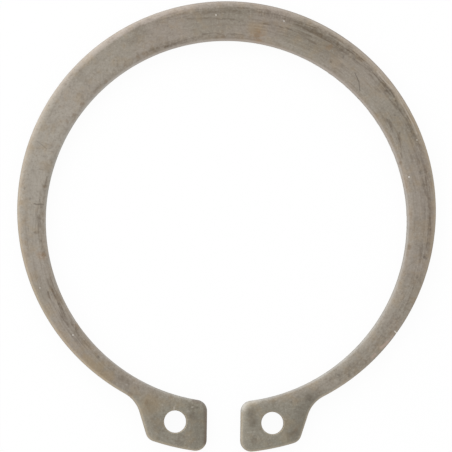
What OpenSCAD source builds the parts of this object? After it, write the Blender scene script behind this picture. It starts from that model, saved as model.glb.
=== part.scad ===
// External retaining ring, stamped in one piece from spring steel strip.
// It lies flat: the bore's axis is Z, the underside is at z = 0 and the mouth
// between the two lugs points along -Y. The die rolled over the edges of the
// upper face, and the edges of the underside are square. Lengths are in millimetres.

/* [Band] */
// Diameter of the bore while the ring is free, before it is sprung on a shaft
free_bore_d = 45.8; // [43:0.1:54]
// Thickness of the strip that the ring is stamped from
thickness = 2.0; // [1.5:0.05:3]
// Width of the band opposite the mouth, where it is widest
band_wide = 5.0; // [4:0.05:5.8]
// Width of the band on the mouth's line, if it ran on across the mouth
band_narrow = 2.25; // [1.7:0.01:2.8]

/* [Lugs] */
// Height of the lugs, from the bore to their outer edge
lug_height = 6.42; // [5.8:0.02:7.4]
// Width across both lugs, halfway up their height
lug_span = 20.18; // [18.6:0.02:22.6]
// Lean of each lug's side towards the mouth, in degrees
lug_lean = 17.5; // [10:0.1:24]
// Width of the mouth between the lugs
mouth_w = 4.28; // [3:0.02:5.4]

/* [Plier holes] */
// Diameter of the plier holes
hole_d = 2.82; // [2.2:0.02:3.4]
// Distance between the centres of the plier holes
hole_pitch = 12.32; // [10.8:0.02:13.4]
// Distance from the bore to the centre of a plier hole
hole_reach = 3.27; // [2.8:0.01:3.7]

/* [Corners] */
// Radius of the fillet where a lug's side runs into the band
root_r = 4.0; // [2:0.05:5.2]
// Radius of the corners of the mouth
mouth_r = 1.41; // [0.9:0.01:1.8]
// Radius of each lug's outer corner, away from the mouth
corner_r = 1.4; // [0.6:0.01:1.9]

/* [Rolled edges of the upper face] */
// Width of the roll on the outer edge, opposite the mouth
outer_roll_w = 1.1; // [0.5:0.01:1.4]
// Depth of the roll on the outer edge, opposite the mouth
outer_roll_depth = 0.22; // [0.12:0.01:0.4]
// Width of the roll along the bore
bore_roll_w = 1.0; // [0.3:0.01:1.2]
// Depth of the roll along the bore
bore_roll_depth = 0.17; // [0.1:0.01:0.4]
// Width of the roll round the lugs
lug_roll_w = 0.45; // [0.2:0.01:0.55]
// Depth of the roll round the lugs
lug_roll_depth = 0.12; // [0.08:0.01:0.3]
// Width of the roll round a plier hole
hole_roll_w = 0.15; // [0.1:0.01:0.4]
// Depth of the roll round a plier hole
hole_roll_depth = 0.05; // [0.03:0.01:0.2]

/* [Hidden] */
$fn = 128;

// Share of a rolled edge's mean slope at which it leaves the face
roll_start = 0.3;
// How far a cutter stands clear of the metal that it trims
clear = 0.4;
// How far a cutter's arc is carried on past the wall
lip = 0.01;
// How far a cutter lifts clear of the face where its roll runs out
run_out = 2 * lip;
// How far the corner arcs reach past their neighbours, so that they cross them
lap = 0.0005;

bore_r = free_bore_d / 2;
outer_r = (free_bore_d + band_wide + band_narrow) / 2;
lug_r = bore_r + lug_height;
hole_r = hole_d / 2;

// The outer edge is a circle set off from the bore, so the band tapers to the mouth
bore_c = [0, 0];
outer_c = [0, (band_wide - band_narrow) / 2];

// The point at this x, below the bore's axis, that is r away from it
function below(x, r) = [x, -sqrt(r * r - x * x)];
// Where a line through p along the unit vector d leaves the circle of radius r about c
function leaves(p, d, c, r) =
    let (q = p - c)
    p + d * (sqrt(pow(q * d, 2) - q * q + r * r) - q * d);
// The point at radius r from c towards p
function towards(c, p, r) = c + (p - c) * r / norm(p - c);

// Right-hand lug. The left-hand one mirrors it.
hole_c = below(hole_pitch / 2, bore_r + hole_reach);
side_out = [cos(lug_lean), -sin(lug_lean)];
side_down = [-sin(lug_lean), -cos(lug_lean)];
side_mid = [lug_span / 2, -bore_r - lug_height / 2];

// Centres of the corners and of the root fillet
inner_c = below(mouth_w / 2 + mouth_r, bore_r + mouth_r);
mouth_c = below(mouth_w / 2 + mouth_r, lug_r - mouth_r);
corner_c = leaves(side_mid - corner_r * side_out, side_down, bore_c, lug_r - corner_r);
root_c = leaves(side_mid + root_r * side_out, side_down, outer_c, outer_r + root_r);

// Points where those arcs run into the straight edges and the large arcs
bore_end = towards(bore_c, inner_c, bore_r);
mouth_top = [mouth_w / 2, inner_c.y];
mouth_end = [mouth_w / 2, mouth_c.y];
lug_start = towards(bore_c, mouth_c, lug_r);
lug_end = towards(bore_c, corner_c, lug_r);
side_start = corner_c + corner_r * side_out;
side_end = root_c - root_r * side_out;
band_start = towards(outer_c, root_c, outer_r);

module disc(c, r) {
    translate(c) circle(r);
}

module both_sides() {
    children();
    mirror([1, 0, 0]) children();
}

// One lug before the mouth parts it from the other: a block with a filleted root
module lug_block() {
    intersection() {
        disc(bore_c, lug_r);
        polygon([bore_c, [0, -2 * lug_r], 2 * lug_end, lug_end, side_start, side_end - root_r * side_down]);
    }
    disc(corner_c, corner_r + lap);
    difference() {
        polygon([side_end, root_c, band_start, bore_c]);
        disc(root_c, root_r + lap);
    }
}

// Half of the mouth, which parts the lugs and rounds their corners beside it
module mouth() {
    difference() {
        polygon([bore_c, bore_end, inner_c, mouth_top, mouth_end, mouth_c, 2 * lug_start, [0, -2 * lug_r]]);
        disc(inner_c, mouth_r + lap);
        disc(mouth_c, mouth_r + lap);
    }
}

module outline() {
    difference() {
        union() {
            disc(outer_c, outer_r);
            both_sides() lug_block();
        }
        disc(bore_c, bore_r);
        both_sides() mouth();
    }
}

// Section of an edge cutter: x runs into the metal from the wall, y is up from the face
module roll_section(w, depth) {
    slope = atan2(depth, w);
    start = slope * roll_start;
    r = norm([w, depth]) / (2 * sin(slope - start));
    centre = [w + r * sin(start), -r * cos(start)];
    difference() {
        translate([-clear, -depth - lip]) square([clear + centre.x, depth + lip + clear]);
        disc(centre, r);
    }
}

// A plier hole and its rolled edge, turned as one cutter
module plier_hole() {
    translate(hole_c) rotate_extrude() {
        translate([0, -clear]) square([hole_r, thickness + 2 * clear]);
        translate([hole_r, thickness]) roll_section(hole_roll_w, hole_roll_depth);
    }
}

// Along the edge of a round opening
module roll_inside(c, r, w, depth) {
    translate(c) rotate_extrude() translate([r, 0]) roll_section(w, depth);
}

// Along the edge of a round outside
module roll_outside(c, r, w, depth) {
    translate(c) rotate_extrude() translate([r, 0]) mirror([1, 0]) roll_section(w, depth);
}

// Along a straight edge from p to q, with the metal on the left, climbing by rise on the way
module roll_straight(p, q, rise, w, depth) {
    run = q - p;
    translate(p) rotate([90, 0, atan2(run.y, run.x) + 90]) rotate([-atan2(rise, norm(run)), 0, 0])
        linear_extrude(height = norm(run)) roll_section(w, depth);
}

// The outer roll is widest opposite the mouth. Its cutter turns about a centre of its own, so that
// its inner edge leaves the metal a little before the lugs, and it ends beyond that in the open.
module outer_roll() {
    top_y = outer_c.y + outer_r;
    edge_y = top_y - outer_roll_w;
    leave_y = band_start.y + root_r;
    leave = [sqrt(pow(outer_r, 2) - pow(leave_y - outer_c.y, 2)), leave_y];
    centre_y = (pow(edge_y, 2) - leave * leave) / (2 * (edge_y - leave_y));
    intersection() {
        roll_outside([0, centre_y], top_y - centre_y, outer_roll_w, outer_roll_depth);
        translate([-2 * lug_r, band_start.y + root_r / 2, -lug_r]) cube([4 * lug_r, 4 * lug_r, 2 * lug_r]);
    }
}

// The roll along a lug's side runs out at its root
module side_roll() {
    start = side_start + (corner_r + lug_roll_w) * side_down;
    roll_straight(start, side_end, lug_roll_depth + run_out, lug_roll_w, lug_roll_depth);
}

module rolled_edges() {
    outer_roll();
    roll_inside(bore_c, bore_r, bore_roll_w, bore_roll_depth);
    roll_outside(bore_c, lug_r, lug_roll_w, lug_roll_depth);
    both_sides() {
        roll_straight(mouth_top + [0, mouth_r], mouth_end - [0, mouth_r], 0, lug_roll_w, lug_roll_depth);
        side_roll();
    }
}

module retaining_ring() {
    color("#948b7f") difference() {
        linear_extrude(height = thickness) outline();
        both_sides() plier_hole();
        translate([0, 0, thickness]) rolled_edges();
    }
}

retaining_ring();
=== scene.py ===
import math

import bmesh
import bpy
from mathutils import Matrix, Vector, noise


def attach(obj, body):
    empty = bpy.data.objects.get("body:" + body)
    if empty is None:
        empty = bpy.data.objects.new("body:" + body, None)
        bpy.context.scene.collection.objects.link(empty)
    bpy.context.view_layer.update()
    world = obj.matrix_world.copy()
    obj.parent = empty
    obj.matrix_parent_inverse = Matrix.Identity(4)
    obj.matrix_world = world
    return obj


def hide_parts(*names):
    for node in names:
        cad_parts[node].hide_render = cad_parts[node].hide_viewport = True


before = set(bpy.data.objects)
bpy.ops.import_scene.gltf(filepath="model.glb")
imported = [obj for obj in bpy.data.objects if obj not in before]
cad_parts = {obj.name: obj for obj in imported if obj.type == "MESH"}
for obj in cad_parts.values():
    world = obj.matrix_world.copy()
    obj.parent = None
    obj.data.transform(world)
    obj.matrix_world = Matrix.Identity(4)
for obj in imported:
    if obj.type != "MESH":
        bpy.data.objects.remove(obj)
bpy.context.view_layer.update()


# THE CAMERA
# It looks down on the ring from about a metre, a few degrees off the upright and turned a
# little, as in the photograph. Marks on the steel are placed by their pixels through it.
mm = 0.001
thickness = 2.0
picture_px = 452
ring_centre_px = Vector((226.84, 221.24))
px_per_mm = 7.902
camera_height = 1000.0
tip_back = math.radians(-1.85)
tip_right = math.radians(2.87)
turned = math.radians(0.835)
sensor_mm = 36.0

middle_px = Vector((picture_px / 2, picture_px / 2))
off_mm = (middle_px - ring_centre_px) / px_per_mm
to_camera = (Matrix.Rotation(tip_back, 3, "X") @ Matrix.Rotation(tip_right, 3, "Y")
             @ Matrix.Rotation(-turned, 3, "Z"))
from_camera = to_camera.transposed()
eye_mm = Vector((0, 0, thickness)) + from_camera @ Vector((off_mm.x, -off_mm.y, camera_height))

eye = bpy.data.cameras.new("camera")
eye.sensor_width = sensor_mm
eye.lens = sensor_mm * camera_height * px_per_mm / picture_px
eye.clip_start = 0.01
camera = bpy.data.objects.new("camera", eye)
camera.location = eye_mm * mm
camera.rotation_euler = from_camera.to_euler()
bpy.context.scene.collection.objects.link(camera)
bpy.context.scene.camera = camera
bpy.context.scene.view_settings.view_transform = "Standard"


def on_face(right_px, down_px):
    """The point of the ring's upper face that shows at this pixel, in millimetres."""
    ray = Vector((right_px - middle_px.x, middle_px.y - down_px, -px_per_mm * camera_height))
    ray = from_camera @ ray
    return eye_mm + ray * ((thickness - eye_mm.z) / ray.z)


# THE BLANK
# The ring is one piece of spring steel, blanked out of flat strip in a press: an open
# band whose outer circle is set off from the bore, a lug on each side of the mouth and
# a plier hole in each lug. Its outline is drawn here in millimetres, right half first.
bore_r = 22.9
outer_r = 26.525
lug_r = 29.32
lug_span = 20.18
lug_lean = math.radians(17.5)
mouth_half = 2.14
hole_r = 1.41
hole_x = 6.16
hole_from_axis = 26.17
root_r = 4.0
mouth_r = 1.41
corner_r = 1.4
longest_edge = 0.14

bore_c = Vector((0, 0, 0))
outer_c = Vector((0, 1.375, 0))


def below(x, reach):
    """The point at this x, on the mouth's side, that is reach away from the bore's axis."""
    return Vector((x, -math.sqrt(reach * reach - x * x), 0))


def leaves(point, way, centre, reach):
    """Where a line from the point along the way crosses the circle of that reach about the centre."""
    off = point - centre
    back = off.dot(way)
    return point + way * (math.sqrt(back * back - off.dot(off) + reach * reach) - back)


def towards(centre, point, reach):
    return centre + (point - centre).normalized() * reach


side_out = Vector((math.cos(lug_lean), -math.sin(lug_lean), 0))
side_down = Vector((-math.sin(lug_lean), -math.cos(lug_lean), 0))
side_mid = Vector((lug_span / 2, -(bore_r + lug_r) / 2, 0))

inner_corner_c = below(mouth_half + mouth_r, bore_r + mouth_r)
mouth_corner_c = below(mouth_half + mouth_r, lug_r - mouth_r)
outer_corner_c = leaves(side_mid - corner_r * side_out, side_down, bore_c, lug_r - corner_r)
root_c = leaves(side_mid + root_r * side_out, side_down, outer_c, outer_r + root_r)
band_start = towards(outer_c, root_c, outer_r)
band_top = Vector((0, outer_c.y + outer_r, 0))

ring = bmesh.new()
# Shares at each corner: torn wall, and the band by the rim that carries edge wear and painted highlight
torn = ring.verts.layers.float.new("torn")
worn = ring.verts.layers.float.new("worn")


def end_of(drawn):
    return next(part for part in drawn["geom_last"] if isinstance(part, bmesh.types.BMVert))


def swing(pen, centre, end):
    """Draws an arc from the pen about the centre, to the direction of the end point."""
    start = pen.co - centre
    finish = end - centre
    turn = math.atan2(start.cross(finish).z, start.dot(finish))
    steps = math.ceil(abs(turn) * start.length / longest_edge)
    return end_of(bmesh.ops.spin(ring, geom=[pen], cent=centre, axis=(0, 0, 1), angle=turn, steps=steps))


def rule(pen, end):
    """Draws a straight edge from the pen to the end point."""
    run = end - pen.co
    steps = math.ceil(run.length / longest_edge)
    drawn = bmesh.ops.spin(ring, geom=[pen], cent=pen.co, axis=(0, 0, 1), dvec=run / steps, steps=steps)
    return end_of(drawn)


pen = ring.verts.new((0, bore_r, 0))
pen = swing(pen, bore_c, inner_corner_c)
pen = swing(pen, inner_corner_c, inner_corner_c - Vector((mouth_r, 0, 0)))
pen = rule(pen, mouth_corner_c - Vector((mouth_r, 0, 0)))
pen = swing(pen, mouth_corner_c, 2 * mouth_corner_c)
pen = swing(pen, bore_c, outer_corner_c)
pen = swing(pen, outer_corner_c, outer_corner_c + side_out)
pen = rule(pen, root_c - root_r * side_out)
pen = swing(pen, root_c, outer_c)
pen = swing(pen, outer_c, band_top)

hole_c = below(hole_x, hole_from_axis)
hole_steps = math.ceil(2 * math.pi * hole_r / longest_edge)
bmesh.ops.create_circle(ring, segments=hole_steps, radius=hole_r, matrix=Matrix.Translation(hole_c))
bmesh.ops.mirror(ring, geom=ring.verts[:] + ring.edges[:], axis="X", merge_dist=0.001)
rim = ring.edges[:]
bmesh.ops.triangle_fill(ring, use_beauty=True, edges=rim, normal=(0, 0, 1))


# THE SHEARED EDGES
# The press leaves its marks on every wall: the die rolls the upper edge over, the wall
# below it is burnished by the shear, and the lower part tears away rough and a little
# short. The roll is widest opposite the mouth, and wider again on the lugs' inner corners.
top_roll = Vector((1.1, 0.22))
root_roll = Vector((0.6, 0.11))
bore_roll = Vector((1.0, 0.17))
lug_roll = Vector((0.45, 0.12))
hole_roll = Vector((0.15, 0.05))
corner_roll = Vector((1.25, 0.3))
corner_spread = 1.6
rim_round = 0.07
wear_and_highlight_width = 0.38
roll_steps = 8
round_steps = 3
tear_height = 0.72
tear_set = 0.05
tear_lip = 0.05
foot_round = 0.06
lug_begins = 21.5
lug_in_full = 24.5
slack = 0.01
# Nicks in the edges: pixel across and down, reach and depth in millimetres
nicks = [(396, 333, 0.4, 0.12), (385, 346, 0.5, 0.04), (374, 356, 0.5, 0.04), (246, 405, 0.4, 0.03)]
inner_corner = inner_corner_c + mouth_r * Vector((-0.7, 0.7, 0))
nick_places = [(on_face(right, down), reach, depth) for right, down, reach, depth in nicks]


def smooth(low, high, value):
    share = min(1, max(0, (value - low) / (high - low)))
    return share * share * (3 - 2 * share)


def roll_at(point):
    """Width and depth of the rolled edge on the wall at this point of the outline."""
    folded = Vector((abs(point.x), point.y, 0))
    in_lug = smooth(lug_begins, lug_in_full, -point.y)
    if (folded - hole_c).length < hole_r + slack:
        roll = hole_roll
    elif point.length < bore_r + slack or (folded.x < hole_x and point.y < 0):
        roll = bore_roll.lerp(lug_roll, in_lug)
        roll = roll.lerp(corner_roll, math.exp(-((folded - inner_corner).length / corner_spread) ** 2))
    else:
        share = max(0, (point.y - band_start.y) / (band_top.y - band_start.y))
        roll = root_roll.lerp(top_roll, share ** 0.7).lerp(lug_roll, in_lug)
    roll = roll * (1 + 0.07 * noise.noise(point * 0.3) + 0.04 * noise.noise(point * 1.1))
    for place, reach, depth in nick_places:
        bite = depth * math.exp(-((point - place.xy.to_3d()).length / reach) ** 2)
        roll = roll + Vector((bite, bite))
    return roll


def wall_section(point):
    """The wall at this point, from the underside up: inset, height, torn share, and share of edge wear and
    painted highlight.
    """
    width, depth = roll_at(point)
    tear = tear_height + 0.12 * noise.noise(point * 0.8) + 0.05 * noise.noise(point * 3.1)
    short = tear_set * (1 + 0.5 * noise.noise(point * 2.3))
    section = [(short + foot_round, 0, 1, 0), (short + 0.3 * foot_round, 0.3 * foot_round, 1, 0.4)]
    section += [(short, foot_round, 1, 0), (0.6 * short, tear, 1, 0), (0, tear + tear_lip, 0, 0)]
    slope = math.atan(2 * depth / width)
    rim_top = thickness - depth
    for step in range(round_steps + 1):
        lean = math.pi / 2 - (math.pi / 2 - slope) * step / round_steps
        section.append((rim_round * (1 - math.sin(lean)), rim_top - rim_round * (1 - math.cos(lean)),
                        0, 0.5 + 0.5 * step / round_steps))
    begun = section[-1][0]
    for step in range(1, roll_steps + 1):
        share = step / roll_steps
        inset = begun + (width - begun) * share
        # The band by the rim, for edge wear and painted highlight in the colour
        wear_and_highlight_share = (1 - smooth(0.05, wear_and_highlight_width, inset)) * (1 - share ** 3)
        section.append((inset, thickness - depth * (1 - share) ** 2, 0, wear_and_highlight_share))
    return section


inward = {corner: Vector() for corner in ring.verts}
for edge in rim:
    loop = edge.link_loops[0]
    along = loop.link_loop_next.vert.co - loop.vert.co
    for corner in edge.verts:
        inward[corner] += Vector((-along.y, along.x, 0)).normalized()
posts = {}
for corner in inward:
    posts[corner] = (corner.co.copy(), inward[corner].normalized(), wall_section(corner.co))
bmesh.ops.delete(ring, geom=ring.faces[:], context="FACES_KEEP_BOUNDARY")

level_corners = list(posts)
for level in range(len(posts[level_corners[0]][2])):
    if level:
        drawn = bmesh.ops.extrude_edge_only(ring, edges=rim)["geom"]
        rim = [part for part in drawn if isinstance(part, bmesh.types.BMEdge)]
        level_corners = [part for part in drawn if isinstance(part, bmesh.types.BMVert)]
        raised = set(level_corners)
        for corner in level_corners:
            foot = next(edge.other_vert(corner) for edge in corner.link_edges
                        if edge.other_vert(corner) not in raised)
            posts[corner] = posts[foot]
    for corner in level_corners:
        place, inwards, section = posts[corner]
        inset, height, corner[torn], corner[worn] = section[level]
        corner.co = place + inwards * inset + Vector((0, 0, height))

for face in ring.faces:
    face.smooth = True
for side in (1, -1):
    open_edges = [edge for edge in ring.edges
                  if edge.is_boundary and (edge.verts[0].co.z > thickness / 2) == (side > 0)]
    bmesh.ops.triangle_fill(ring, use_beauty=True, edges=open_edges, normal=(0, 0, side))
bmesh.ops.recalc_face_normals(ring, faces=ring.faces[:])
bmesh.ops.scale(ring, vec=(mm, mm, mm), verts=ring.verts[:])
mesh = bpy.data.meshes.new("stamped_ring")
ring.to_mesh(mesh)
ring.free()
stamped_ring = bpy.data.objects.new("stamped_ring", mesh)
bpy.context.scene.collection.objects.link(stamped_ring)


# THE STEEL
# Hardened spring steel, tumbled to a matt grey after stamping and left bare. Oil and damp
# have stained it brown in streaks that run round the band, with small rust spots, dark
# pits, a few scratches, specks of dust and worn edges. Painted highlights and painted shade
# lie in the colour as well: on the rolled edges, on the lugs and round the left of the band.
def photo_colour(red, green, blue):
    """A colour as it shows on screen, from 0 to 255, as the light that Blender works in."""
    def light(level):
        level = level / 255
        return level / 12.92 if level < 0.04045 else ((level + 0.055) / 1.055) ** 2.4
    return (light(red), light(green), light(blue), 1)


class Wire:
    """An output of a shader node. Sums, differences, products and powers of wires add Math nodes."""

    def __init__(self, tree, socket):
        self.tree = tree
        self.socket = socket

    def node(self, kind, settings, sockets, output=0):
        """Adds a node of that kind. Its settings are set first, then its sockets get values or wires."""
        made = self.tree.nodes.new("ShaderNode" + kind)
        for name, value in settings.items():
            if name == "stops":
                stops = made.color_ramp.elements
                while len(stops) < len(value):
                    stops.new(0.5)
                for stop, (position, level) in zip(stops, value):
                    stop.position = position
                    stop.color = (level, level, level, 1)
            else:
                setattr(made, name, value)
        for key, value in sockets.items():
            if isinstance(value, Wire):
                self.tree.links.new(value.socket, made.inputs[key])
            else:
                made.inputs[key].default_value = value
        return Wire(self.tree, made.outputs[output])

    def other(self, output):
        return Wire(self.tree, self.socket.node.outputs[output])

    def maths(self, operation, first, second=0.0):
        return self.node("Math", {"operation": operation}, {0: first, 1: second})

    def __add__(self, other):
        return self.maths("ADD", self, other)

    def __radd__(self, other):
        return self.maths("ADD", other, self)

    def __sub__(self, other):
        return self.maths("SUBTRACT", self, other)

    def __rsub__(self, other):
        return self.maths("SUBTRACT", other, self)

    def __mul__(self, other):
        return self.maths("MULTIPLY", self, other)

    def __rmul__(self, other):
        return self.maths("MULTIPLY", other, self)

    def __truediv__(self, other):
        return self.maths("DIVIDE", self, other)

    def __pow__(self, other):
        return self.maths("POWER", self, other)

    def most(self, other):
        return self.maths("MAXIMUM", self, other)

    def rise(self, low, high):
        """0 up to low, 1 from high on, smooth between them. It falls where low is above high."""
        return self.node("MapRange", {"interpolation_type": "SMOOTHSTEP"},
                         {"Value": self, "From Min": low, "From Max": high})

    def over(self, under, colour, share=1.0):
        """The colour laid over the one under it, where this wire is its cover."""
        return self.node("Mix", {"data_type": "RGBA"}, {0: self * share, 6: under, 7: colour}, 2)


steel = bpy.data.materials.new("tumbled_spring_steel")
steel.use_nodes = True
shader = steel.node_tree.nodes["Principled BSDF"]
start = Wire(steel.node_tree, None)


def feed(socket, wire):
    steel.node_tree.links.new(wire.socket, shader.inputs[socket])


place = start.node("TexCoord", {}, {}, "Object")
place = place.node("VectorMath", {"operation": "SCALE"}, {0: place, "Scale": 1 / mm})
x = place.node("SeparateXYZ", {}, {0: place})
y = x.other("Y")
z = x.other("Z")
clock = x.maths("ARCTAN2", x, y) * (180 / math.pi)
from_bore = (x * x + y * y) ** 0.5 - bore_r
from_outer = outer_r - (x * x + (y - outer_c.y) * (y - outer_c.y)) ** 0.5
round_band = clock * (bore_r + 2) * (math.pi / 180)
up = start.node("SeparateXYZ", {}, {0: start.node("TexCoord", {}, {}, "Normal")}, "Z")
wall = up.rise(0.6, 0.25)
on_band = y.rise(-21, -19.5)
in_lug = y.rise(-20, -24)
torn_share = start.node("Attribute", {"attribute_name": "torn"}, {}, "Fac")
rim_wear_and_highlight_share = start.node("Attribute", {"attribute_name": "worn"}, {}, "Fac")


def speckle(scale, detail, roughness, shift):
    """Noise of that many waves a millimetre, the same in all directions."""
    spot = place.node("VectorMath", {"operation": "ADD"}, {0: place, 1: (shift, shift, 0)})
    sockets = {"Vector": spot, "Scale": scale, "Detail": detail, "Roughness": roughness}
    return place.node("TexNoise", {}, sockets)


def streaks(waves_along, waves_across, detail, roughness, shift):
    """Noise drawn out round the band: waves a millimetre along it and across it."""
    spot = place.node("CombineXYZ", {}, {0: round_band * waves_along + shift, 1: from_bore * waves_across,
                                         2: z * waves_across})
    sockets = {"Vector": spot, "Scale": 1.0, "Detail": detail, "Roughness": roughness}
    return place.node("TexNoise", {}, sockets)


def by_clock(weights):
    """A weight that changes round the ring: clock angle in degrees from the band's top, and weight."""
    stops = [((degrees + 180) / 360, weight) for degrees, weight in weights]
    return clock.node("ValToRGB", {"stops": stops}, {0: (clock + 180) / 360})


def strip(gauge, low, high, soft):
    """1 where the gauge is between low and high, fading over soft on both sides."""
    return gauge.rise(low - soft, low) * gauge.rise(high + soft, high)


def spots(marks, where):
    """Cover of round marks: pixel across, pixel down and reach in millimetres."""
    cover = 0.0
    for right_px, down_px, reach in marks:
        middle = on_face(right_px, down_px)
        gone = start.node("VectorMath", {"operation": "DISTANCE"}, {0: where, 1: middle}, "Value")
        cover = gone.rise(reach, 0.3 * reach).most(cover)
    return cover


def lines(marks, where):
    """Cover of drawn marks: reach in millimetres, strength, and the pixels that the mark runs through."""
    cover = 0.0
    for reach, strength, pixels in marks:
        points = [on_face(right_px, down_px) for right_px, down_px in pixels]
        for begin, end in zip(points, points[1:]):
            way = (end - begin).normalized()
            off = start.node("VectorMath", {"operation": "SUBTRACT"}, {0: where, 1: begin})
            along = start.node("VectorMath", {"operation": "DOT_PRODUCT"}, {0: off, 1: way}, "Value")
            along = start.node("Clamp", {}, {"Value": along, "Min": 0, "Max": (end - begin).length})
            near = start.node("VectorMath", {"operation": "SCALE"}, {0: way, "Scale": along})
            gone = start.node("VectorMath", {"operation": "DISTANCE"}, {0: off, 1: near}, "Value")
            cover = (gone.rise(reach, 0.2 * reach) * strength).most(cover)
    return cover


cloud = speckle(0.09, 2, 0.5, 3)
patch = speckle(0.35, 3, 0.55, 17)
mottle = speckle(0.9, 4, 0.65, 7)
grain = speckle(4.0, 2, 0.6, 31)
crumb = speckle(2.4, 3, 0.7, 61)
streak = streaks(0.22, 2.2, 4, 0.62, 0)
thread = streaks(0.35, 5.0, 3, 0.6, 40)

# Where marks are drawn: bent by the mottle, bent less, or as if rolled edges were level with the face
bend_mm = 0.9
bow_share = 0.4
bend = start.node("VectorMath", {"operation": "SUBTRACT"}, {0: mottle.other("Color"), 1: (0.5, 0.5, 0.5)})
bend = start.node("VectorMath", {"operation": "MULTIPLY"}, {0: bend, 1: (bend_mm, bend_mm, 0)})
bent = start.node("VectorMath", {"operation": "ADD"}, {0: place, 1: bend})
bowed = start.node("Mix", {"data_type": "VECTOR"}, {0: bow_share, 4: place, 5: bent}, 1)
levelled = start.node("CombineXYZ", {}, {0: x, 1: y, 2: thickness})

# The bare steel, greyer on the lugs, and lighter in places round the band, most on the left:
# partly cleaner steel, partly painted light
warm_grey = photo_colour(140, 131, 121)
olive_grey = photo_colour(133, 126, 114)
lug_grey = photo_colour(130, 127, 115)
light_grey = photo_colour(166, 160, 151)
roll_pink = photo_colour(170, 159, 153)
roll_beige = photo_colour(170, 157, 140)
dark_grey = photo_colour(104, 96, 86)
streak_brown = photo_colour(110, 98, 84)
colour = cloud.rise(0.4, 0.6).over(warm_grey, olive_grey)
cleaner_and_painted_light = by_clock([(-160, 0.05), (-130, 0.3), (-110, 0.5), (-85, 1.0), (-65, 1.0), (-45, 0.7), (-20, 0.25),
                    (10, 0.0), (35, 0.15), (50, 0.35), (75, 0.25), (110, 0.45), (135, 0.55), (160, 0.3)])
colour = cleaner_and_painted_light.over(colour, light_grey, 0.6)
# Painted highlight: the rolled edges lighter in bands round the ring, pink to beige on the outer roll and
# grey on the bore's
outer_roll_highlight = by_clock([(-90, 0.0), (-55, 0.0), (-30, 0.8), (-10, 0.5), (12, 0.35), (35, 0.6), (52, 0.8),
                         (68, 0.2), (90, 0.0)])
bore_roll_highlight = by_clock([(-130, 0.2), (-110, 0.3), (-90, 0.0), (-70, 0.2), (-50, 0.5), (-35, 0.0),
                        (-15, 0.2), (10, 0.7), (30, 0.4), (70, 0.5), (90, 0.6), (110, 0.0), (140, 0.1)])
outer_roll_highlight = outer_roll_highlight * strip(from_outer, 0.25, 0.6, 0.3) * on_band
bore_roll_highlight = bore_roll_highlight * strip(from_bore, 0.5, 0.95, 0.3) * on_band
roll_tint = by_clock([(10, 0.0), (30, 0.6), (50, 1.0), (90, 1.0)])
colour = outer_roll_highlight.over(colour, roll_tint.over(roll_pink, roll_beige), 0.6)
colour = bore_roll_highlight.over(colour, light_grey, 0.55)
colour = in_lug.over(colour, lug_grey, 0.7)
colour = patch.rise(0.45, 0.7).over(colour, dark_grey, 0.2)
colour = mottle.rise(0.5, 0.75).over(colour, dark_grey, 0.3)
colour = grain.rise(0.5, 0.8).over(colour, light_grey, 0.44)
colour = grain.rise(0.5, 0.2).over(colour, dark_grey, 0.38)
drawn_out = by_clock([(-150, 0.4), (-125, 0.9), (-105, 0.9), (-90, 0.5), (-70, 0.2), (-35, 0.2),
                      (-10, 0.5), (15, 0.6), (35, 0.8), (60, 0.8), (85, 0.6), (105, 0.3), (150, 0.15)])
drawn_out = drawn_out * (1 - 0.85 * in_lug)
crumbly = 1 - drawn_out
colour = (streak.rise(0.52, 0.74) * (0.4 + 0.6 * drawn_out)).over(colour, streak_brown, 0.35)
colour = (thread.rise(0.52, 0.72) * drawn_out).over(colour, streak_brown, 0.42)
colour = (thread.rise(0.46, 0.28) * drawn_out).over(colour, light_grey, 0.3)
colour = (crumb.rise(0.52, 0.72) * crumbly).over(colour, streak_brown, 0.45)
colour = (crumb.rise(0.46, 0.28) * crumbly).over(colour, light_grey, 0.35)

# Oil and damp: a yellow film in places, brown streaks inside the outer roll and beside the bore,
# smears and blots, and a short row of fine cross marks near the top
film_yellow = photo_colour(150, 128, 94)
film_orange = photo_colour(168, 132, 84)
spot_orange = photo_colour(140, 104, 62)
stain_brown = photo_colour(86, 73, 60)
oil_brown = photo_colour(104, 92, 74)
comb_pitch = 0.31
film = speckle(0.7, 3, 0.6, 53)
outer_film = by_clock([(-160, 0.0), (-148, 0.3), (-138, 0.6), (-124, 0.6), (-112, 0.4), (-103, 0.6),
                       (-90, 0.6), (-70, 0.3), (-55, 0.0), (45, 0.0), (60, 0.5), (75, 0.8), (95, 0.6),
                       (115, 0.3), (150, 0.2)])
bore_film = by_clock([(-160, 0.2), (-108, 0.3), (-100, 0.8), (-92, 0.3), (-60, 0.1), (-30, 0.3),
                      (-20, 0.1), (0, 0.2), (8, 0.8), (14, 0.3), (40, 0.2), (62, 0.6), (78, 0.9),
                      (92, 0.5), (106, 0.4), (120, 0.0)])
filmed = outer_film * from_outer.rise(1.3, 0.1) + bore_film * from_bore.rise(1.1, 0.1)
colour = film.rise(0.46, 0.7).over(colour, film_yellow, 0.2)
colour = (filmed * mottle.rise(0.35, 0.65) * on_band).over(colour, film_orange, 0.25)
stained = by_clock([(-170, 0.0), (-30, 0.1), (-15, 0.5), (5, 0.6), (15, 0.8), (25, 1.0), (50, 1.0),
                    (62, 0.8), (80, 0.6), (100, 0.6), (130, 0.5), (150, 0.3)])
brushed = streaks(0.5, 3.4, 3, 0.65, 90).rise(0.4, 0.6)
crumbs = crumb.rise(0.4, 0.6)
stained = stained * strip(from_outer, 0.75, 1.4, 0.4) * streak.rise(0.3, 0.55) * on_band
stained = stained * (0.8 * brushed + 0.4 * crumbs)
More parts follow.
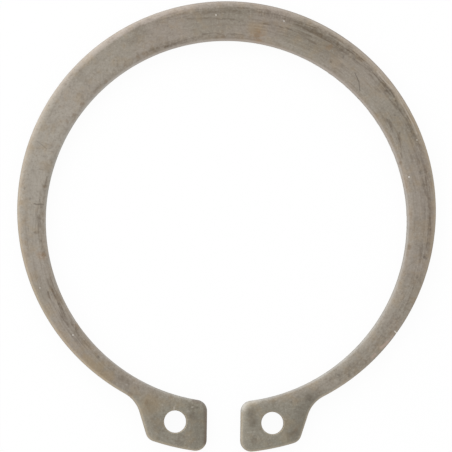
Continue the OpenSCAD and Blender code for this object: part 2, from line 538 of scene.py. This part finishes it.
oiled = by_clock([(-150, 0.4), (-130, 0.6), (-112, 0.5), (-100, 0.6), (-85, 0.8), (-60, 0.3), (-42, 0.4),
                  (-28, 0.9), (-5, 0.5), (12, 0.2), (45, 0.2), (65, 0.4), (76, 0.4), (95, 0.0), (150, 0.1)])
oiled = oiled * strip(from_bore, 0.35, 0.95, 0.25) * streak.rise(0.3, 0.6) * on_band
oiled = oiled * (0.4 * brushed + 0.8 * crumbs)
run_marks = [
    (0.4, 0.5, [(292, 20), (307, 26), (317, 30)]),
    (0.5, 0.6, [(315, 29), (325, 34), (334, 39)]),
    (0.45, 0.6, [(339, 42), (346, 48), (352, 53)]),
    (0.4, 0.5, [(361, 58), (374, 72)]),
    (0.35, 0.5, [(375, 73), (380, 80), (385, 84)]),
    (0.45, 0.6, [(384, 87), (393, 96)]),
    (0.3, 0.6, [(395, 99), (397, 102)]),
    (0.35, 0.5, [(403, 108), (407, 117), (409, 125)]),
    (0.28, 0.6, [(410, 126), (412, 135)]),
    (0.24, 0.6, [(306, 35), (317, 38), (322, 42)]),
    (0.2, 0.7, [(304, 39), (313, 42), (320, 46)]),
    (0.26, 0.6, [(325, 45), (332, 47), (341, 51)]),
    (0.22, 0.6, [(186, 19), (211, 18), (242, 20)]),
    (0.22, 0.7, [(264, 24), (286, 28), (298, 32)]),
    (0.24, 0.6, [(203, 34), (242, 34)]),
    (0.3, 0.6, [(165, 47), (186, 41)]),
    (0.34, 0.6, [(375, 88), (380, 92)]),
    (0.28, 0.7, [(382, 119), (390, 121), (392, 131)]),
    (0.28, 0.7, [(399, 133), (401, 160)]),
    (0.3, 0.6, [(426, 169), (430, 205), (430, 230), (425, 258)]),
    (0.26, 0.7, [(48, 174), (44, 191)]),
    (0.22, 0.7, [(41, 206), (42, 214)]),
    (0.42, 0.7, [(39, 217), (40, 227)]),
    (0.3, 0.6, [(34, 233), (40, 232)]),
    (0.28, 0.5, [(42, 240), (44, 252)]),
    (0.2, 0.8, [(52, 277), (52, 282)]),
    (0.24, 0.9, [(52, 288), (57, 298)]),
    (0.22, 0.7, [(48, 292), (50, 300), (55, 306)]),
    (0.22, 0.8, [(58, 302), (61, 308), (65, 316)]),
    (0.24, 0.7, [(59, 311), (63, 320)]),
    (0.22, 0.8, [(65, 321), (68, 327)]),
    (0.22, 0.8, [(70, 321), (73, 326)]),
    (0.24, 0.9, [(76, 328), (79, 335)]),
]
dash = streaks(0.9, 1.3, 3, 0.6, 70)
runs = lines(run_marks, bowed) * dash.rise(0.3, 0.52) * (0.8 * brushed + 0.35 * crumbs)
smear_marks = [
    (1.0, 0.9, [(50, 284), (62, 311), (78, 337), (86, 347)]),
    (0.8, 0.6, [(37, 204), (37, 240)]),
    (1.2, 0.6, [(258, 25), (300, 33), (340, 52)]),
    (0.8, 0.5, [(385, 116), (397, 140)]),
]
smears = lines(smear_marks, bent) * thread.rise(0.4, 0.62)
blot_marks = [
    (251, 414, 0.9), (253, 422, 0.9), (256, 440, 1.0), (292, 435, 0.9), (296, 433, 0.7), (289, 438, 0.7),
    (310, 398, 0.9), (317, 394, 0.7), (189, 405, 0.6), (196, 408, 0.7), (193, 416, 0.8), (204, 430, 0.7),
    (122, 378, 0.6), (129, 382, 0.6), (137, 388, 0.5), (181, 440, 1.0),
]
blots = spots(blot_marks, bent) * mottle.rise(0.34, 0.56)
tinted = spots([(150, 404, 2.0), (88, 363, 1.5), (97, 370, 1.5), (107, 377, 1.3), (255, 29, 1.4)], bent)
browned = spots([(257, 37, 1.3), (329, 47, 0.6), (78, 325, 0.6), (41, 256, 0.9)], bent)
browned = browned * (0.3 + 0.7 * crumbs)
comb = x.maths("SINE", round_band * (2 * math.pi / comb_pitch)).rise(-0.2, 0.9)
combed = by_clock([(5, 0.0), (10, 1.0), (15, 1.0), (19, 0.0)]) * strip(from_outer, 0.8, 1.3, 0.3)
colour = stained.over(colour, stain_brown, 0.48)
colour = oiled.over(colour, oil_brown, 0.45)
colour = runs.over(colour, stain_brown, 0.55)
colour = smears.over(colour, stain_brown, 0.35)
colour = blots.over(colour, stain_brown, 0.28)
colour = tinted.over(colour, film_yellow, 0.3)
colour = browned.over(colour, spot_orange, 0.34)
colour = (comb * combed).over(colour, stain_brown, 0.17)

# Rust, pits, scratches, bare nicks, scuffs and dust
rust_brown = photo_colour(114, 93, 68)
pit_black = photo_colour(66, 59, 52)
bare_white = photo_colour(214, 208, 200)
scuff_pink = photo_colour(180, 160, 149)
dust_white = photo_colour(236, 234, 228)
rust_marks = [
    (138, 57, 0.4), (144, 54, 0.35), (82, 104, 0.35), (74, 115, 0.35), (124, 65, 0.3), (106, 81, 0.3),
    (257, 35, 0.6), (224, 37, 0.4), (330, 46, 0.35), (400, 163, 0.4), (409, 247, 0.45),
    (44, 255, 0.4), (45, 186, 0.35), (67, 122, 0.3), (130, 394, 0.5), (147, 402, 0.4), (296, 430, 0.4),
]
pit_marks = [
    (114, 60, 0.22), (343, 57, 0.22), (331, 62, 0.22), (395, 116, 0.22), (30, 199, 0.22),
    (24, 189, 0.2), (421, 172, 0.3), (423, 185, 0.3), (431, 230, 0.25), (425, 258, 0.3), (417, 277, 0.3),
    (339, 375, 0.25), (340, 380, 0.25), (350, 375, 0.3), (310, 400, 0.25), (98, 357, 0.25),
    (239, 22, 0.25), (197, 407, 0.22), (193, 414, 0.2), (291, 403, 0.2), (294, 432, 0.2),
]
cut_marks = [
    (0.1, 0.45, [(37, 141), (42, 145), (47, 149)]),
    (0.1, 0.3, [(49, 151), (54, 152)]),
    (0.1, 0.5, [(39, 169), (43, 170)]),
    (0.16, 0.7, [(34.5, 203.8), (37, 204.6), (41, 204.3)]),
    (0.13, 0.7, [(41, 204.3), (45.5, 204.8)]),
    (0.12, 0.5, [(39.8, 199.5), (39.9, 203.5)]),
    (0.1, 0.8, [(355, 73), (359, 82), (360, 91)]),
    (0.1, 0.25, [(198, 8), (199, 13)]),
    (0.1, 0.25, [(203, 8), (203, 12)]),
    (0.1, 0.25, [(208, 7), (209, 12)]),
    (0.1, 0.3, [(262, 11), (261, 16)]),
    (0.1, 0.3, [(269, 12), (268, 17)]),
    (0.1, 0.3, [(277, 14), (276, 18)]),
]
bare_marks = [
    (0.12, 0.35, [(174, 407), (174, 411)]),
    (0.12, 0.3, [(192, 407), (193, 407)]),
    (0.16, 0.25, [(377, 71), (384, 80), (396, 92), (405, 109), (412, 122), (417, 134)]),
]
nick_marks = [(0.13, 1.0, [(394.9, 331.3), (397.5, 334)])]
scuff_marks = [
    (0.26, 1.0, [(381, 347.5), (384.5, 345.2), (388, 341.5)]),
    (0.24, 0.8, [(372, 357.5), (375.3, 354)]),
    (0.18, 0.6, [(389, 340), (393, 335.5)]),
]
dust_marks = [
    (216, 15, 0.1), (284, 21, 0.1), (417, 140, 0.09), (409, 177, 0.12), (22, 199, 0.08), (73, 335, 0.1),
    (40, 288, 0.08),
]
rust = spots(rust_marks, bent) * grain.rise(0.2, 0.6)
pits = spots(pit_marks, bent) * grain.rise(0.2, 0.6)
cuts = lines(cut_marks, place)
bare = lines(bare_marks, place).most(lines(nick_marks, levelled))
scuffs = lines(scuff_marks, levelled) * (1 - wall)
dust = spots(dust_marks, place)
colour = rust.over(colour, rust_brown, 0.5)
colour = pits.over(colour, pit_black, 0.38)
colour = cuts.over(colour, pit_black, 0.6)

# The lugs: painted shade on the sides away from the lamp, towards the mouth on the left one and
# outwards on the right one, with darker patches inside each; painted highlight on their other
# sides and on the right lug's inner corner
painted_shade_and_patch_grey = photo_colour(96, 91, 82)
painted_highlight_grey = photo_colour(180, 173, 160)
corner_painted_highlight = photo_colour(216, 214, 207)
painted_shade_and_patch_marks = [
    (2.0, 0.8, [(201, 419), (201, 436)]),
    (1.2, 0.5, [(151, 408), (158, 432)]),
    (1.4, 1.0, [(312, 398), (303, 411), (298, 424), (292, 435)]),
    (1.0, 0.7, [(250, 411), (253, 424)]),
]
lug_painted_highlight_marks = [(1.5, 1.0, [(242, 409), (242, 440)]), (1.2, 0.7, [(141, 408), (147, 430), (152, 436)])]
corner_highlight_marks = [(0.9, 1.0, [(243, 406), (246, 402)]), (0.7, 0.6, [(246, 402), (258, 400)])]
colour = lines(painted_shade_and_patch_marks, bent).over(colour, painted_shade_and_patch_grey, 0.34)
colour = lines(lug_painted_highlight_marks, bent).over(colour, painted_highlight_grey, 0.16)

# Worn edges: bright steel, yellowed by oil on parts of the outer rim and colder on most of the
# bore's. The brightening is partly wear and partly painted highlight. Painted shade in brown lies
# on the outer rim at the right and on the mouth's left side
rim_light = photo_colour(188, 180, 174)
rim_yellow = photo_colour(190, 176, 152)
rim_cold = photo_colour(188, 188, 185)
rim_warm = photo_colour(186, 177, 170)
painted_shade_brown = photo_colour(98, 84, 76)
on_bore = from_bore.rise(1.5, 1.1)
bore_wear_and_highlight = by_clock([(-165, 0.6), (-130, 0.3), (-70, 0.3), (-45, 0.9), (65, 0.75), (100, 0.5), (165, 0.7)])
bore_warm = by_clock([(-70, 0.0), (-25, 0.8), (0, 1.0), (50, 1.0), (80, 0.3), (100, 0.0)])
outer_wear_and_highlight = by_clock([(-160, 1.0), (-35, 1.0), (10, 0.8), (40, 0.8), (60, 0.9), (90, 0.7), (112, 0.4),
                       (138, 0.5), (148, 1.0)])
# Painted shade: a brown line on the outer rim's edge at the right, where it faces away from the lamp
rim_painted_shade = by_clock([(-20, 0.0), (0, 0.35), (15, 0.5), (50, 0.7), (65, 0.3), (80, 0.1), (95, 0.3),
                       (112, 0.6), (130, 0.6), (142, 0.1), (150, 0.0)])
rim_painted_shade = rim_painted_shade * from_outer.rise(0.2, 0.05)
edge_wear_and_highlight = outer_wear_and_highlight + on_bore * (1.3 * bore_wear_and_highlight - outer_wear_and_highlight)
edge_wear_and_highlight = edge_wear_and_highlight * rim_wear_and_highlight_share * (1 - 0.3 * in_lug)
yellowed = by_clock([(-170, 0.9), (-90, 0.7), (-60, 0.3), (0, 0.1), (45, 0.2), (70, 0.8), (95, 0.8),
                     (130, 0.5), (170, 0.8)])
edge_colour = yellowed.over(rim_light, rim_yellow)
edge_colour = on_bore.over(edge_colour, bore_warm.over(rim_cold, rim_warm))
colour = edge_wear_and_highlight.over(colour, edge_colour, 0.55)
colour = (rim_painted_shade * on_band).over(colour, painted_shade_brown, 0.4)
colour = scuffs.over(colour, scuff_pink, 0.55)
# Painted shade along the left lug's edge by the mouth, where its wall faces away from the lamp
mouth_painted_shade = [(0.5, 1.0, [(194, 400), (203, 402), (206, 407), (207, 425), (206, 443)])]
colour = lines(mouth_painted_shade, place).over(colour, painted_shade_brown, 0.6)
# Painted highlight on the right lug's inner corner
colour = lines(corner_highlight_marks, place).over(colour, corner_painted_highlight, 0.22)
colour = bare.over(colour, bare_white, 0.8)
colour = dust.over(colour, dust_white, 0.8)

# The walls: burnished above, torn and dull below
wall_grey = photo_colour(178, 169, 156)
torn_grey = photo_colour(112, 103, 94)
drag = streaks(3.0, 0.1, 2, 0.5, 11)
rough_tear = speckle(2.6, 4, 0.7, 23)
wall_colour = drag.rise(0.35, 0.7).over(wall_grey, dark_grey, 0.4)
wall_colour = torn_share.over(wall_colour, rough_tear.rise(0.35, 0.7).over(torn_grey, light_grey, 0.5))
colour = (wall * (1 - rim_wear_and_highlight_share)).over(colour, wall_colour, 0.85)

feed("Base Color", colour)
dull = rust.most(stained).most(runs).most(torn_share * wall)
feed("Roughness", 0.46 + 0.12 * mottle + 0.14 * dull + 0.1 * edge_wear_and_highlight)
feed("Metallic", 1 - dust - 0.5 * rust)
bump_strength = 0.2
bump_depth = 0.00004
relief = grain * 0.6 + thread * 0.5 - cuts * 1.5 - pits * 1.2 + dust * 2
relief = relief + rough_tear * torn_share * wall * 3
bump = start.node("Bump", {}, {"Height": relief, "Strength": bump_strength, "Distance": bump_depth})
feed("Normal", bump)

mesh.materials.append(steel)
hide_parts("retaining_ring")
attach(stamped_ring, "root")


# THE TABLE AND THE LIGHT
# The ring lies on a plain white table. A soft lamp stands at the upper left of the picture, weak
# ones at the upper right and the lower left, and white surroundings light the rest.
floor_size = 4.0
sink = 0.00003
glow_share = 0.95
room_light = 0.75
floor_bm = bmesh.new()
bmesh.ops.create_grid(floor_bm, x_segments=1, y_segments=1, size=floor_size / 2)
bmesh.ops.translate(floor_bm, verts=floor_bm.verts[:], vec=(0, 0, -sink))
floor_mesh = bpy.data.meshes.new("table")
floor_bm.to_mesh(floor_mesh)
floor_bm.free()
table = bpy.data.objects.new("table", floor_mesh)
bpy.context.scene.collection.objects.link(table)


def seen_rays(tree):
    """1 for rays from the camera, and for those that metal or glass sends on."""
    rays = Wire(tree, None).node("LightPath", {}, {}, "Is Camera Ray")
    return rays.most(rays.other("Is Glossy Ray")).most(rays.other("Is Transmission Ray"))


white = bpy.data.materials.new("white_table")
white.use_nodes = True
white.node_tree.nodes.remove(white.node_tree.nodes["Principled BSDF"])
seen = seen_rays(white.node_tree)
plain = seen.node("BsdfDiffuse", {}, {"Color": (0.9, 0.9, 0.9, 1)})
glow = seen.node("Emission", {}, {"Color": (1, 1, 1, 1), "Strength": 1.0})
surface = seen.node("MixShader", {}, {0: seen * glow_share, 1: plain, 2: glow})
white.node_tree.links.new(surface.socket, white.node_tree.nodes["Material Output"].inputs["Surface"])
floor_mesh.materials.append(white)

world = bpy.data.worlds.new("white_room")
bpy.context.scene.world = world
world.use_nodes = True
seen = seen_rays(world.node_tree)
brightness = room_light + (1 - room_light) * seen
room = seen.node("Background", {}, {"Color": (1, 1, 1, 1), "Strength": brightness})
world.node_tree.links.new(room.socket, world.node_tree.nodes["World Output"].inputs["Surface"])


def lamp(name, place_m, size, watts):
    """A round lamp at that place, turned towards the ring. Lengths are in metres."""
    data = bpy.data.lights.new(name, "AREA")
    data.shape = "DISK"
    data.size = size
    data.energy = watts
    lit = bpy.data.objects.new(name, data)
    lit.location = place_m
    lit.rotation_euler = (-Vector(place_m)).to_track_quat("-Z", "Y").to_euler()
    bpy.context.scene.collection.objects.link(lit)


lamp("key_lamp", (-0.215, 0.235, 0.24), 0.44, 0.78)
lamp("fill_lamp", (0.17, 0.34, 0.24), 0.4, 0.27)
lamp("low_lamp", (-0.25, -0.21, 0.23), 0.4, 0.2)
